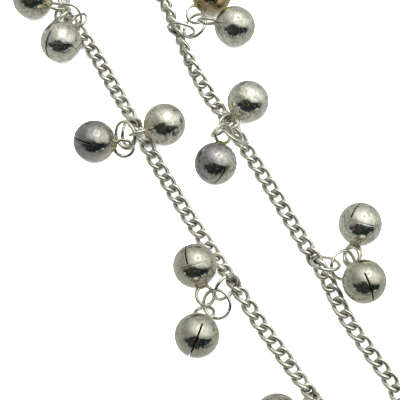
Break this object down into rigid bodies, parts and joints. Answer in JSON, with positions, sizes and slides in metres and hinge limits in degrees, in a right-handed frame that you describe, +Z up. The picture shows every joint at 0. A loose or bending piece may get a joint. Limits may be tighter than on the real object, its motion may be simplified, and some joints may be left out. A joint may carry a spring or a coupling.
{
  "type": "curb chain bell bracelet",
  "caption": "Curb chain bracelet of silver, closed and laid flat as a long loop, with round jingle bells hung in pairs on jump rings.",
  "frame": {"origin": "on the surface the bracelet lies on, below the middle of the laid loop", "axes": "+X along the two strands, towards the turn away from the clasp; +Z up from the surface"},
  "size_m": [0.0946, 0.0343, 0.0068],
  "materials": {
    "chain_silver": "worn polished silver with dark crevices",
    "ring_silver": "polished silver wire, lightly tarnished",
    "bell_silver": "mirror polished silver with fine scratches and patches of tarnish",
    "clasp_silver": "polished silver"
  },
  "bodies": {
    "root": {"chain": "chain_silver", "clasp": "clasp_silver", "clasp_ring_1": "ring_silver", "clasp_ring_2": "ring_silver", "ring_a_1": "ring_silver", "ring_a_2": "ring_silver", "ring_a_3": "ring_silver", "ring_a_4": "ring_silver", "ring_a_5": "ring_silver", "ring_a_6": "ring_silver", "ring_a_7": "ring_silver", "ring_a_8": "ring_silver", "ring_b_1": "ring_silver", "ring_b_2": "ring_silver", "ring_b_3": "ring_silver", "ring_b_4": "ring_silver", "ring_b_5": "ring_silver", "ring_b_6": "ring_silver", "ring_b_7": "ring_silver", "ring_b_8": "ring_silver", "bell_1a": "bell_silver", "bell_1b": "bell_silver", "bell_2a": "bell_silver", "bell_2b": "bell_silver", "bell_3a": "bell_silver", "bell_3b": "bell_silver", "bell_4a": "bell_silver", "bell_4b": "bell_silver", "bell_5a": "bell_silver", "bell_5b": "bell_silver", "bell_6a": "bell_silver", "bell_6b": "bell_silver", "bell_7a": "bell_silver", "bell_7b": "bell_silver", "bell_8a": "bell_silver", "bell_8b": "bell_silver"}
  },
  "joints": []
}
